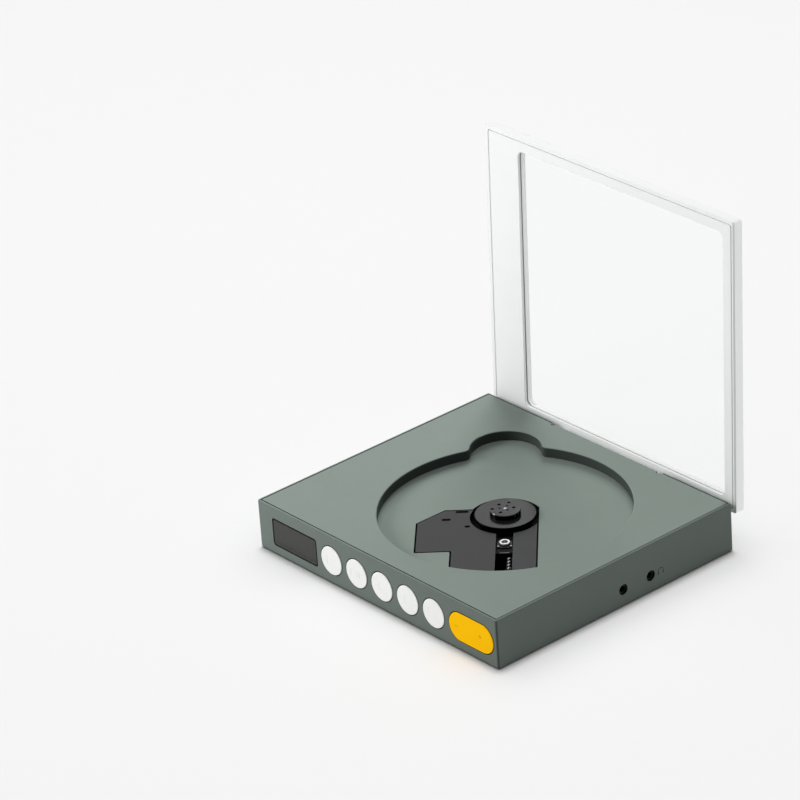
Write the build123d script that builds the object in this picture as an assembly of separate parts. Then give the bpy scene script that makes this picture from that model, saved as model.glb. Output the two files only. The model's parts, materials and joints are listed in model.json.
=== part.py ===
from build123d import *
import math
import os

os.makedirs("parts", exist_ok=True)

# Driving dimensions, millimetres. X runs along the front face, -Y is the front,
# Z is up. Heights are drawn from a plane TABLE below the surface the feet stand on,
# and every piece is lowered by that much when it is written.
WIDTH = 171.5
DEPTH = 151.0
TABLE = 1.2
FOOT_H = 1.6
BODY_H = 25.4
TOP = FOOT_H + BODY_H
CHAMFER = 0.4
WALL = 2.0
RIM = 0.7
BACK_BEVEL = 1.1
SEAM = 0.4
LEDGE = 0.8
DECK_T = 2.0
CORNER_R = 1.3
FRONT = -DEPTH / 2
BACK = DEPTH / 2
RIGHT = WIDTH / 2

# Disc well
WELL_X = 8.4
WELL_Y = 0.4
WELL_R = 61.3
WELL_DEPTH = 5.2
WELL_WALL = 1.5
WELL_EDGE = 0.5
FLOOR_T = 1.4
FLOOR = TOP - WELL_DEPTH
NOTCH_ANGLE = 137.5
NOTCH_DIST = 59.9
NOTCH_R = 17.7
NOTCH_BLEND = 3.5

# Front face
KEY_Z = TOP - 13.1
BUTTON_X = [-31.4, -13.1, 5.2, 23.5, 41.8]
BUTTON_R = 7.4
KEY_GAP = 0.5
KEY_PROUD = 0.3
KEY_TRAVEL = 0.6
TIP_GAP = 0.15
ROCKER_X = 67.9
ROCKER_W = 30.4
ROCKER_H = 14.8
ROCKER_SWING = 2.0
ROCKER_TIP = 10.5
DISPLAY_X = -58.7
DISPLAY_Z = TOP - 13.4
DISPLAY_W = 32.4
DISPLAY_H = 14.4
DISPLAY_GAP = 0.35

# Right face
JACK_Z = TOP - 16.8
HEADPHONE_Y = 21.3
LINE_Y = 3.6
JACK_HOLE_R = 2.75
JACK_BORE_R = 1.76
JACK_LEN = 14.0

# Left face
USB_Y = -26.0
USB_Z = TOP - 17.8

# Lid, modelled closed and then turned open about the hinge
LID_T = 5.4
LID_GAP = 0.2
LID_RIM = 1.9
HINGE_Y = BACK - 2.2
HINGE_Z = TOP - 4.7
HINGE_HALF = 39.4
HINGE_R = 2.1
PIN_R = 0.9
OPEN_ANGLE = 91.85
WIN_LEFT = -62.6
WIN_RIGHT = 78.0
WIN_FRONT = FRONT + 7.3
WIN_BACK = BACK - 6.5
WIN_R = 3.4
PANE_RECESS = 1.6
PANE_T = 2.2

# Disc mechanism; its own axis u points from the spindle to the front right corner
MECH_ANGLE = -43.5
PLATTER_R = 15.0
PLATTER_TOP = TOP - 3.5
PLATTER_T = 1.4
BOSS_R = 7.45
BOSS_TOP = TOP - 1.0
SHAFT_R = 0.75
CHASSIS_Z = 14.8
CHASSIS_T = 1.2
COVER_TOP = FLOOR
COVER_T = 1.0
COVER_GAP = 0.8
ROD_R = 1.2
ROD_Z = 17.8
ROD_V = [-12.0, 9.0]
BOARD_TOP = 6.6
LENS_U = 23.2
SLED_IN = 7.0
SLED_OUT = 8.2
SLED_LOW = 9.0
POCKET = 17.6
SCREW_V = 2.2
SCREW_Z = 16.0
SCREW_R = 1.3


def write(name, shape):
    """Lower a piece onto the table level and save it, one solid or a group of solids."""
    solids = [Pos(0, 0, -TABLE) * solid for solid in shape.solids()]
    piece = solids[0] if len(solids) == 1 else Compound(children=solids)
    export_step(piece, f"parts/{name}.step")


def box(x0, x1, y0, y1, z0, z1):
    return Pos((x0 + x1) / 2, (y0 + y1) / 2, (z0 + z1) / 2) * Box(x1 - x0, y1 - y0, z1 - z0)


def rod(x, y, z0, z1, r):
    return Pos(x, y, (z0 + z1) / 2) * Cylinder(r, z1 - z0)


def rod_x(x0, x1, y, z, r):
    return Pos((x0 + x1) / 2, y, z) * Rot(0, 90, 0) * Cylinder(r, x1 - x0)


def rod_y(x, y0, y1, z, r):
    return Pos(x, (y0 + y1) / 2, z) * Rot(90, 0, 0) * Cylinder(r, y1 - y0)


def plate(face, z0, z1):
    return Pos(0, 0, z0) * extrude(face, z1 - z0)


def front_plate(face, x, z, y0, y1):
    """Raise a sketch drawn in X and Z into a slab between two Y values."""
    return Pos(x, y1, z) * Rot(90, 0, 0) * extrude(face, y1 - y0)


def group(shapes):
    return Compound(children=[s for shape in shapes for s in shape.solids()])


def mech(shape):
    """Carry a shape drawn along u (X) and v (Y) round the spindle into place."""
    return Pos(WELL_X, WELL_Y, 0) * Rot(0, 0, MECH_ANGLE) * shape


def opened(shape):
    """Turn a shape of the closed lid about the hinge into the open position."""
    return Pos(0, HINGE_Y, HINGE_Z) * Rot(-OPEN_ANGLE, 0, 0) * Pos(0, -HINGE_Y, -HINGE_Z) * shape


flange_y = FRONT + WALL + 0.1
carrier_y = -70.8
switch_y = -68.9
switch_face = switch_y + 0.3
stem_end = switch_face - KEY_TRAVEL - TIP_GAP
rocker_end = switch_face - ROCKER_TIP * math.sin(math.radians(ROCKER_SWING)) - 2 * TIP_GAP
fix_x = [-22.25, 14.35, 32.65]
fix_z = KEY_Z - 5.0

# Side frame: four painted walls with a chamfered top edge and a ledge for the deck
frame = box(-RIGHT, RIGHT, FRONT, BACK, FOOT_H, TOP)
frame = fillet(frame.edges().filter_by(Axis.Z), CORNER_R)
frame = chamfer(frame.faces().sort_by(Axis.Z)[-1].edges(), CHAMFER)
frame = chamfer(frame.faces().sort_by(Axis.Z)[0].edges(), 0.4)
bevel = Rot(45, 0, 0) * Box(WIDTH + 2, BACK_BEVEL * math.sqrt(2), BACK_BEVEL * math.sqrt(2))
frame -= Pos(0, BACK, TOP) * bevel
inset = CHAMFER + RIM
shelf = TOP - DECK_T - 1.2
lip = WALL + LEDGE
frame -= box(-RIGHT + WALL, RIGHT - WALL, FRONT + WALL, BACK - WALL, FOOT_H - 1, shelf)
frame -= box(-RIGHT + lip, RIGHT - lip, FRONT + lip, BACK - lip, shelf - 1, TOP + 1)
frame -= box(-RIGHT + inset, RIGHT - inset, FRONT + inset, BACK - inset, TOP - DECK_T, TOP + 1)
frame -= box(-40.0, 40.0, HINGE_Y - 3.0, BACK + 1, HINGE_Z - HINGE_R - 0.3, TOP + 1)
for side in (-1, 1):
    lug = box(41.2, 47.2, BACK - 5.0, BACK - WALL + 0.2, HINGE_Z - 2.2, TOP - DECK_T - 0.1)
    lug = lug if side > 0 else mirror(lug, Plane.YZ)
    frame += lug
frame -= rod_x(-47.0, 47.0, HINGE_Y, HINGE_Z, PIN_R)
display_cut = RectangleRounded(DISPLAY_W + 2 * DISPLAY_GAP, DISPLAY_H + 2 * DISPLAY_GAP, 1.7)
frame -= front_plate(display_cut, DISPLAY_X, DISPLAY_Z, FRONT - 1, -73.4)
for x in BUTTON_X:
    frame -= rod_y(x, FRONT - 1, FRONT + WALL + 0.1, KEY_Z, BUTTON_R + KEY_GAP)
slot = SlotOverall(ROCKER_W + 2 * KEY_GAP, ROCKER_H + 2 * KEY_GAP)
frame -= front_plate(slot, ROCKER_X, KEY_Z, FRONT - 1, FRONT + WALL + 1.3)
for y in (HEADPHONE_Y, LINE_Y):
    frame -= rod_x(RIGHT - WALL - 1, RIGHT + 1, y, JACK_Z, JACK_HOLE_R)
usb_hole = Rot(0, 0, 90) * front_plate(SlotOverall(9.4, 3.6), 0, 0, -3, 3)
frame -= Pos(-RIGHT, USB_Y, USB_Z) * usb_hole
for x in fix_x:
    frame += rod_y(x, FRONT + WALL - 0.2, carrier_y, fix_z, 1.6)
    frame -= rod_y(x, FRONT + WALL + 0.8, carrier_y, fix_z, 0.65)
pad_xy = [(x, y) for x in (-81.0, 81.0) for y in (-60.0, 66.0)]
for x, y in pad_xy:
    frame += box(x - 3.0, x + 3.0, y - 4, y + 4, 3.3, 7.3)
    frame -= rod(x, y, 3.0, 7.0, 0.8)
write("side_frame", frame)

# Deck: the flat top with the disc well and its finger notch
notch_x = WELL_X + NOTCH_DIST * math.cos(math.radians(NOTCH_ANGLE))
notch_y = WELL_Y + NOTCH_DIST * math.sin(math.radians(NOTCH_ANGLE))


def well_solid(grow, z0, z1):
    """The disc well and the finger notch as one block, blended where they meet."""
    block = rod(WELL_X, WELL_Y, z0, z1, WELL_R + grow)
    block += rod(notch_x, notch_y, z0, z1, NOTCH_R + grow)
    meeting = []
    for upright in block.edges().filter_by(Axis.Z):
        spot = upright.center()
        off_well = math.hypot(spot.X - WELL_X, spot.Y - WELL_Y) - WELL_R - grow
        off_notch = math.hypot(spot.X - notch_x, spot.Y - notch_y) - NOTCH_R - grow
        if abs(off_well) < 0.05 and abs(off_notch) < 0.05:
            meeting.append(upright)
    return fillet(meeting, NOTCH_BLEND - grow)


edge = inset + SEAM
deck = box(-RIGHT + edge, RIGHT - edge, FRONT + edge, BACK - edge, TOP - DECK_T, TOP)
deck = fillet(deck.edges().filter_by(Axis.Z), 0.4)
deck = chamfer(deck.faces().sort_by(Axis.Z)[-1].edges(), 0.25)
deck -= box(-40.0, 40.0, HINGE_Y + 0.25, BACK, TOP - DECK_T - 1, TOP + 1)
for x in (-37.4, 36.8):
    deck -= box(x, x + 2.2, HINGE_Y - 0.9, BACK, TOP - DECK_T - 1, TOP + 1)
deck += well_solid(WELL_WALL, FLOOR - FLOOR_T, TOP - DECK_T)
deck -= well_solid(0, FLOOR, TOP + 1)
well_edges = deck.faces().sort_by(Axis.Z)[-1].inner_wires()[0].edges()
deck = fillet(well_edges, WELL_EDGE)


def opening(grow):
    """Outline of the gap in the well floor that the mechanism shows through."""
    block = Polyline(
        (-8.0 - grow, 16.0 + grow),
        (-8.0 - grow, -29.3),
        (4.2, -42.7 - grow),
        (32.9 + grow, -42.7 - grow),
        (32.9 + grow, -25.7 - grow),
        (60.0, -25.7 - grow),
        (60.0, 16.0 + grow),
        close=True,
    )
    face = make_face(block)
    corners = [v for v in face.vertices() if abs(v.X - 32.9 - grow) < 0.01]
    face = fillet(corners, 1.0)
    shape = face + Circle(17.7 + grow)
    shape -= Pos(0, 26.0 + grow) * Rectangle(60, 20)
    return shape & Circle(60.3 + grow)


deck -= mech(plate(opening(0), FLOOR - FLOOR_T - 1, FLOOR + 1))
post_uv = [(-15.0, -22.0), (-15.0, 16.5), (60.0, -23.5), (61.5, 19.0)]
post_top = CHASSIS_Z + CHASSIS_T + 1.2
for u, v in post_uv:
    post = mech(rod(u, v, post_top, FLOOR - 0.6, 2.6))
    post_high = mech(rod(u, v, FLOOR - 0.7, TOP - 1.0, 2.6))
    deck += post
    if math.hypot(u, v) > WELL_R:
        deck += post_high
    deck -= mech(rod(u, v, post_top - 1, FLOOR - 1.4, 0.85))
magnet_xy = [(-73.0, -50.0), (-73.0, 45.0)]
screw_xy = [(-74.0, -66.0), (73.0, -55.0), (-74.0, 68.0), (71.0, 68.0), (-66.0, -8.0), (5.0, 67.5)]
for x, y in screw_xy:
    deck += rod(x, y, 3.3, TOP - DECK_T + 0.5, 2.6)
    deck -= rod(x, y, 3.0, 12.0, 0.85)
for x, y in magnet_xy:
    deck += rod(x, y, TOP - DECK_T - 2.4, TOP - DECK_T + 0.1, 5.2)
    deck -= rod(x, y, TOP - DECK_T - 3.0, TOP - DECK_T - 0.05, 4.05)
write("deck", deck)

# Bottom cover with recesses for the feet and countersunk screw holes
cover = box(-RIGHT + WALL + 0.2, RIGHT - WALL - 0.2, FRONT + WALL + 0.2, BACK - WALL - 0.2, FOOT_H, 3.2)
cover = fillet(cover.edges().filter_by(Axis.Z), 0.5)
board_xy = [(42.0, -3.0), (42.0, 58.5), (68.0, 58.5)]
charge_xy = [(-78.5, USB_Y - 8.5), (-78.5, USB_Y + 8.5)]
feet_xy = [(-72.0, -50.0), (72.0, -36.0), (-72.0, 52.0), (72.0, 50.0)]
for x, y in feet_xy:
    cover -= rod(x, y, 0.5, FOOT_H + 0.6, 6.2)
all_screws = screw_xy + pad_xy
for x, y in all_screws:
    cover -= rod(x, y, 0.5, 4.0, 1.1)
    cover -= Pos(x, y, FOOT_H + 0.5) * Cone(2.1, 1.1, 1.02)
for x, y in board_xy:
    cover += rod(x, y, 3.0, BOARD_TOP - 1.2, 2.2)
    cover -= rod(x, y, 2.0, 9.0, 0.8)
for x, y in charge_xy:
    cover += rod(x, y, 3.0, USB_Z - 2.8, 2.2)
    cover -= rod(x, y, 2.0, 9.0, 0.8)
write("bottom_cover", cover)

feet = []
for x, y in feet_xy:
    foot = rod(x, y, TABLE, FOOT_H + 0.6, 6.0)
    feet.append(fillet(foot.faces().sort_by(Axis.Z)[0].edges(), 0.3))
write("feet", group(feet))


def countersunk(x, y, length):
    """A countersunk M2 screw, head down, with a cross cut in the head."""
    screw = Pos(x, y, FOOT_H + 0.55) * Cone(2.0, 1.0, 1.0)
    screw += rod(x, y, FOOT_H + 1.0, FOOT_H + 1.0 + length, 0.78)
    screw -= Pos(x, y, FOOT_H + 0.25) * Box(2.4, 0.45, 0.8)
    screw -= Pos(x, y, FOOT_H + 0.25) * Box(0.45, 2.4, 0.8)
    return screw


write("case_screws", group([countersunk(x, y, 4.0) for x, y in all_screws]))

# Display lens and the module behind it
lens_face = RectangleRounded(DISPLAY_W, DISPLAY_H, 1.4)
window = front_plate(lens_face, DISPLAY_X, DISPLAY_Z, FRONT + 0.1, FRONT + 1.5)
lens_step = RectangleRounded(DISPLAY_W - 2, DISPLAY_H - 2, 1.0)
window += front_plate(lens_step, DISPLAY_X, DISPLAY_Z, FRONT + 1.4, FRONT + 2.0)
write("display_window", window)
module = box(DISPLAY_X - 15.5, DISPLAY_X + 15.5, -73.4, -71.9, DISPLAY_Z - 6.6, DISPLAY_Z + 6.6)
module += box(DISPLAY_X - 15.5, DISPLAY_X + 15.5, -71.9, -70.9, DISPLAY_Z - 7.4, DISPLAY_Z + 7.4)
module += box(DISPLAY_X - 5.0, DISPLAY_X + 5.0, -70.9, -69.4, DISPLAY_Z - 6.8, DISPLAY_Z - 4.0)
write("display_module", module)

# Front keys: a proud round cap, a flange behind the wall, and a stem with a thin tip
FLANGE_T = 0.9
for i, x in enumerate(BUTTON_X):
    cap = rod_y(x, FRONT - KEY_PROUD, flange_y + 0.1, KEY_Z, BUTTON_R)
    cap = fillet(cap.faces().sort_by(Axis.Y)[0].edges(), 0.35)
    cap += rod_y(x, flange_y, flange_y + FLANGE_T, KEY_Z, BUTTON_R + 0.9)
    cap += rod_y(x, flange_y, stem_end, KEY_Z, 2.0)
    cap += rod_y(x, stem_end - 0.1, switch_y + 1.2, KEY_Z, 0.9)
    write(f"button_{i + 1}", cap)

# Volume rocker: capsule cap on a rib that turns on an upright pin
rocker_face = SlotOverall(ROCKER_W, ROCKER_H)
rocker = front_plate(rocker_face, ROCKER_X, KEY_Z, FRONT - KEY_PROUD, flange_y)
rocker = fillet(rocker.faces().sort_by(Axis.Y)[0].edges(), 0.35)
rocker_pin_y = -72.0
rocker += box(ROCKER_X - 1.6, ROCKER_X + 1.6, flange_y - 0.2, rocker_pin_y + 1.3, KEY_Z - 3.0, KEY_Z + 3.0)
rocker -= rod(ROCKER_X, rocker_pin_y, KEY_Z - 4, KEY_Z + 4, 0.65)
for side in (-1, 1):
    rocker += rod_y(ROCKER_X + side * ROCKER_TIP, flange_y - 0.2, rocker_end, KEY_Z, 1.4)
    rocker += rod_y(ROCKER_X + side * ROCKER_TIP, rocker_end - 0.1, switch_y + 1.2, KEY_Z, 0.8)
write("volume_rocker", rocker)
write("rocker_pin", rod(ROCKER_X, rocker_pin_y, KEY_Z - 5.6, KEY_Z + 5.6, 0.6))

# Key carrier: guides the stems and holds the rocker's pin
carrier = box(BUTTON_X[0] - 8.5, 82.4, carrier_y, carrier_y + 1.2, KEY_Z - 7.0, KEY_Z + 6.4)
for x in BUTTON_X:
    carrier -= rod_y(x, carrier_y - 1, carrier_y + 2, KEY_Z, 2.08)
for side in (-1, 1):
    carrier -= rod_y(ROCKER_X + side * ROCKER_TIP, carrier_y - 1, carrier_y + 2, KEY_Z, 2.2)
carrier -= box(ROCKER_X - 2.4, ROCKER_X + 2.4, carrier_y - 0.1, carrier_y + 0.8, KEY_Z - 3.6, KEY_Z + 3.6)
for side in (-1, 1):
    z_mid = KEY_Z + side * 4.7
    lug = box(ROCKER_X - 1.5, ROCKER_X + 1.5, rocker_pin_y - 1.2, carrier_y + 0.2, z_mid - 1.0, z_mid + 1.0)
    carrier += lug
carrier -= rod(ROCKER_X, rocker_pin_y, KEY_Z - 5.6, KEY_Z + 5.6, 0.6)
for x in fix_x:
    carrier += rod_y(x, carrier_y + 1.0, -66.0, fix_z, 1.6)
    carrier -= rod_y(x, carrier_y - 1, -65.0, fix_z, 0.75)
write("key_carrier", carrier)

key_x = BUTTON_X + [ROCKER_X - ROCKER_TIP, ROCKER_X + ROCKER_TIP]
board = box(BUTTON_X[0] - 8.0, 82.0, -66.0, -64.8, KEY_Z - 6.6, KEY_Z + 6.0)
for x in fix_x:
    board -= rod_y(x, -67.0, -64.0, fix_z, 0.85)
write("key_board", board)
switches = []
for x in key_x:
    switch = box(x - 3.0, x + 3.0, switch_face, -66.0, KEY_Z - 3.0, KEY_Z + 3.0)
    switch -= rod_y(x, switch_y, switch_y + 2.1, KEY_Z, 1.4)
    switches.append(switch)
write("key_switches", group(switches))
key_screws = []
for x in fix_x:
    screw = rod_y(x, -64.8, -63.9, fix_z, 1.4)
    screw += rod_y(x, FRONT + WALL + 1.0, -64.7, fix_z, 0.63)
    key_screws.append(screw)
write("key_screws", group(key_screws))

# Main board with the two audio sockets and board parts
main = box(39.0, 82.2, -6.0, 61.5, BOARD_TOP - 1.2, BOARD_TOP)
for x, y in board_xy:
    main -= rod(x, y, 4.0, 8.0, 1.1)
write("main_board", main)
chips = [
    box(56.0, 66.0, 34.0, 44.0, BOARD_TOP, BOARD_TOP + 1.0),
    box(46.0, 53.0, 18.0, 25.0, BOARD_TOP, BOARD_TOP + 0.9),
    box(46.0, 51.0, 36.0, 41.0, BOARD_TOP, BOARD_TOP + 0.9),
    box(60.0, 64.5, 8.0, 12.5, BOARD_TOP, BOARD_TOP + 0.8),
    rod(44.5, 50.0, BOARD_TOP, BOARD_TOP + 5.0, 2.5),
    rod(51.5, 50.0, BOARD_TOP, BOARD_TOP + 5.0, 2.5),
]
write("board_chips", group(chips))


def jack(y):
    body = box(RIGHT - WALL - 13.0, RIGHT - WALL - 0.4, y - 3.1, y + 3.1, BOARD_TOP, JACK_Z + 3.0)
    body += rod_x(RIGHT - WALL - 0.5, RIGHT - 1.1, y, JACK_Z, 2.5)
    bore_end = RIGHT - 1.1 - JACK_LEN
    body += box(bore_end - 0.8, RIGHT - WALL - 12.0, y - 2.6, y + 2.6, BOARD_TOP, JACK_Z + 2.6)
    body -= rod_x(bore_end, RIGHT, y, JACK_Z, JACK_BORE_R)
    return body


write("headphone_jack", jack(HEADPHONE_Y))
write("line_jack", jack(LINE_Y))

# USB socket on its own small charging board at the left wall
shell = front_plate(SlotOverall(8.94, 3.2), 0, 0, -3.7, 3.7)
shell = Pos(-RIGHT + 4.6, USB_Y, USB_Z) * Rot(0, 0, 90) * shell
hollow = front_plate(SlotOverall(8.3, 2.56), 0, 0, -3.7, 3.7)
hollow = Pos(-RIGHT + 3.6, USB_Y, USB_Z) * Rot(0, 0, 90) * hollow
usb = shell - hollow
usb += box(-RIGHT + 1.8, -RIGHT + 7.5, USB_Y - 3.3, USB_Y + 3.3, USB_Z - 0.35, USB_Z + 0.35)
write("usb_socket", usb)
charge = box(-82.4, -66.0, USB_Y - 11.0, USB_Y + 11.0, USB_Z - 2.8, USB_Z - 1.6)
charge += box(-72.5, -68.0, USB_Y - 6.0, USB_Y + 3.0, USB_Z - 1.6, USB_Z - 0.4)
for x, y in charge_xy:
    charge -= rod(x, y, 4.0, 9.0, 1.1)
write("charge_board", charge)


def pan_head(x, y, z):
    """A pan head M2 screw that holds a board down, its head sitting at height z."""
    screw = rod(x, y, z, z + 1.2, 1.8)
    screw += rod(x, y, z - 3.4, z + 0.1, 0.78)
    screw -= Pos(x, y, z + 1.1) * Box(2.2, 0.45, 0.8)
    screw -= Pos(x, y, z + 1.1) * Box(0.45, 2.2, 0.8)
    return screw


board_screws = [pan_head(x, y, BOARD_TOP) for x, y in board_xy]
board_screws += [pan_head(x, y, USB_Z - 1.6) for x, y in charge_xy]
write("board_screws", group(board_screws))

cell = box(-74.0, -28.0, 4.0, 62.0, 3.3, 11.3)
cell = fillet(cell.edges().filter_by(Axis.Y), 1.6)
cell += box(-62.0, -40.0, 1.4, 4.2, 6.0, 9.4)
write("battery", cell)

# Mechanism: two cover plates inside the floor opening, one each side of the sled slot
plate_face = opening(-COVER_GAP)
top_plate = plate(plate_face, COVER_TOP - COVER_T, COVER_TOP)
top_plate -= rod(0, 0, COVER_TOP - 3, COVER_TOP + 1, PLATTER_R + 2.1)
top_plate -= box(12.0, 62.0, -4.1, 4.1, COVER_TOP - 3, COVER_TOP + 1)
for u, v, length in ((-5.8, -20.9, 5.4), (1.5, -28.3, 3.5), (8.8, -18.0, 1.8)):
    mark = Pos(u, v, COVER_TOP) * Rot(0, 0, 90) * extrude(SlotOverall(length, 1.1), 2, both=True)
    top_plate -= mark
chassis_top = CHASSIS_Z + CHASSIS_T
for u, v in ((10.0, -36.0), (26.0, -36.0), (40.0, -20.5), (24.0, 13.6), (44.0, 13.6)):
    top_plate += rod(u, v, chassis_top, COVER_TOP - 0.5, 1.5)
write("mech_cover_left", mech(top_plate & box(-30.0, 70.0, -50.0, 0.0, 0.0, TOP)))
write("mech_cover_right", mech(top_plate & box(-30.0, 70.0, 0.0, 50.0, 0.0, TOP)))

# Chassis plate that carries motor, rods, screw and sled
base = box(-19.0, 68.4, -26.5, 22.5, CHASSIS_Z, chassis_top)
base += box(4.0, 32.0, -40.0, -25.0, CHASSIS_Z, chassis_top)
base -= box(63.5, 70.0, -28.0, -15.0, CHASSIS_Z - 1, chassis_top + 1)
base = fillet(base.edges().filter_by(Axis.Z), 1.5)
base -= box(14.6, 66.4, -9.6, 7.6, CHASSIS_Z - 1, chassis_top + 1)
for u in (14.0, 67.3):
    for v in ROD_V:
        base += box(u - 1.0, u + 1.0, v - 2.2, v + 2.2, chassis_top - 0.2, ROD_Z + 1.9)
for v in ROD_V:
    base -= rod_x(13.4, 68.3, v, ROD_Z, ROD_R)
base += box(66.6, 68.3, SCREW_V - 4.7, SCREW_V + 4.7, chassis_top - 0.2, SCREW_Z + 3.4)
base -= rod_x(66.0, 69.0, SCREW_V, SCREW_Z, SCREW_R + 0.4)
base += box(13.2, 14.8, SCREW_V - 2.4, SCREW_V + 2.4, chassis_top - 0.2, SCREW_Z + 2.2)
base -= rod_x(13.4, 15.0, SCREW_V, SCREW_Z, SCREW_R + 0.05)
for u, v in post_uv:
    base -= rod(u, v, CHASSIS_Z - 1, chassis_top + 1, 2.5)
write("mech_chassis", mech(base))

dampers, damper_screws = [], []
for u, v in post_uv:
    damper = rod(u, v, CHASSIS_Z - 1.2, CHASSIS_Z, 3.4)
    damper += rod(u, v, CHASSIS_Z - 1.2, post_top, 2.45)
    damper += rod(u, v, chassis_top, post_top, 3.0)
    damper -= rod(u, v, CHASSIS_Z - 2, post_top + 1, 1.15)
    dampers.append(mech(damper))
    screw = rod(u, v, CHASSIS_Z - 2.4, CHASSIS_Z - 1.2, 2.6)
    screw += rod(u, v, CHASSIS_Z - 1.3, post_top + 2.4, 0.8)
    screw -= Pos(u, v, CHASSIS_Z - 2.3) * Box(2.8, 0.5, 0.8)
    screw -= Pos(u, v, CHASSIS_Z - 2.3) * Box(0.5, 2.8, 0.8)
    damper_screws.append(mech(screw))
write("mech_dampers", group(dampers))
write("mech_screws", group(damper_screws))

# Spindle motor: fixed stator, turning bell with platter and boss, steel shaft
stator = rod(0, 0, chassis_top, chassis_top + 1.0, 12.4)
stator += rod(0, 0, chassis_top, 20.8, 11.0)
stator -= rod(0, 0, chassis_top + 0.6, 22.0, SHAFT_R + 0.05)
write("spindle_stator", mech(stator))
platter_low = PLATTER_TOP - PLATTER_T
turntable = rod(0, 0, platter_low, PLATTER_TOP, PLATTER_R)
turntable = fillet(turntable.faces().sort_by(Axis.Z)[-1].edges(), 0.3)
turntable += rod(0, 0, 17.6, platter_low, 12.6)
turntable -= rod(0, 0, 17.0, 21.1, 11.6)
boss = rod(0, 0, PLATTER_TOP - 0.1, BOSS_TOP, BOSS_R)
boss = chamfer(boss.faces().sort_by(Axis.Z)[-1].edges(), 0.25)
turntable += boss
turntable -= rod(0, 0, 20.0, BOSS_TOP + 1, SHAFT_R)
boss_holes = [(-4.2, -3.0), (-5.9, 1.7), (0.0, -6.1), (-0.8, 4.1), (3.7, -2.1)]
pin_holes = [(-0.5, -2.7), (-2.7, 0.7), (1.5, 1.2)]
for u, v in boss_holes:
    turntable -= rod(u, v, BOSS_TOP - 0.3, BOSS_TOP + 1, 0.85)
for u, v in pin_holes:
    turntable -= rod(u, v, BOSS_TOP - 0.3, BOSS_TOP + 1, 0.6)
balls, springs = [], []
BALL_R = 0.9
BALL_Z = PLATTER_TOP + 1.1
for k in range(3):
    turn = Rot(0, 0, 120 * k + 41)
    turntable -= turn * rod_x(3.2, 9.0, 0, BALL_Z, BALL_R + 0.05)
    balls.append(mech(turn * Pos(BOSS_R - BALL_R + 0.03, 0, BALL_Z) * Sphere(BALL_R)))
    spring = rod_x(3.25, BOSS_R - 2 * BALL_R, 0, BALL_Z, 0.8) - rod_x(3.0, 8.0, 0, BALL_Z, 0.5)
    springs.append(mech(turn * spring))
write("turntable", mech(turntable))
write("clamp_balls", group(balls))
write("clamp_springs", group(springs))
write("spindle_shaft", mech(rod(0, 0, chassis_top + 0.8, BOSS_TOP + 0.15, SHAFT_R)))

# Sled with its optical block, lens carrier, magnets and lens
sled_in = LENS_U - SLED_IN
sled_out = LENS_U + SLED_OUT
sled = box(sled_in, sled_out, ROD_V[0] - 2.4, ROD_V[1] + 2.4, chassis_top + 0.4, 19.3)
sled = fillet(sled.edges().filter_by(Axis.Z), 1.2)
sled += box(sled_in, sled_out, -8.6, 6.6, SLED_LOW, chassis_top + 0.6)
sled -= box(LENS_U - 4.2, LENS_U + 4.2, -3.6, 3.6, POCKET, 20.0)
for v in ROD_V:
    sled -= rod_x(0.0, 60.0, v, ROD_Z, ROD_R + 0.05)
sled -= rod_x(0.0, 60.0, SCREW_V, SCREW_Z, SCREW_R + 0.05)
write("pickup_sled", mech(sled))
holder = box(LENS_U - 3.8, LENS_U + 3.8, -2.3, 2.3, POCKET + 0.5, 19.8)
holder += rod(LENS_U, 0, 19.7, 20.9, 2.5)
holder -= rod(LENS_U, 0, 17.0, 21.0, 1.6)
write("lens_holder", mech(holder))
glass = rod(LENS_U, 0, 19.6, 20.7, 1.6) + Pos(LENS_U, 0, 20.7) * scale(Sphere(1.6), (1, 1, 0.35))
write("pickup_lens", mech(glass))
magnets = []
for side in (-1, 1):
    v = side * 3.0
    magnets.append(mech(box(LENS_U - 2.6, LENS_U + 2.6, v - 0.45, v + 0.45, POCKET, 19.9)))
write("lens_magnets", group(magnets))
rods = [mech(rod_x(13.4, 68.2, v, ROD_Z, ROD_R)) for v in ROD_V]
write("guide_rods", group(rods))
write("feed_screw", mech(rod_x(13.5, 68.9, SCREW_V, SCREW_Z, SCREW_R)))
motor = rod_x(68.5, 79.5, SCREW_V, SCREW_Z, 4.4)
motor -= box(60.0, 80.0, SCREW_V - 6, SCREW_V + 6, SCREW_Z + 3.6, SCREW_Z + 6)
motor -= box(60.0, 80.0, SCREW_V - 6, SCREW_V + 6, SCREW_Z - 6, SCREW_Z - 3.6)
motor -= rod_x(68.0, 69.0, SCREW_V, SCREW_Z, SCREW_R + 0.05)
write("feed_motor", mech(motor))

# Lid: outer shell, inner frame with the hinge barrel, clear pane
INNER = TOP + LID_GAP
OUTER = INNER + LID_T
SHEET_T = 1.3
win_cx = (WIN_LEFT + WIN_RIGHT) / 2
win_cy = (WIN_FRONT + WIN_BACK) / 2
win_w = WIN_RIGHT - WIN_LEFT
win_h = WIN_BACK - WIN_FRONT


def window_cut(grow, z0, z1):
    face = Pos(win_cx, win_cy) * RectangleRounded(win_w + 2 * grow, win_h + 2 * grow, WIN_R + grow)
    return plate(face, z0, z1)


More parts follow.
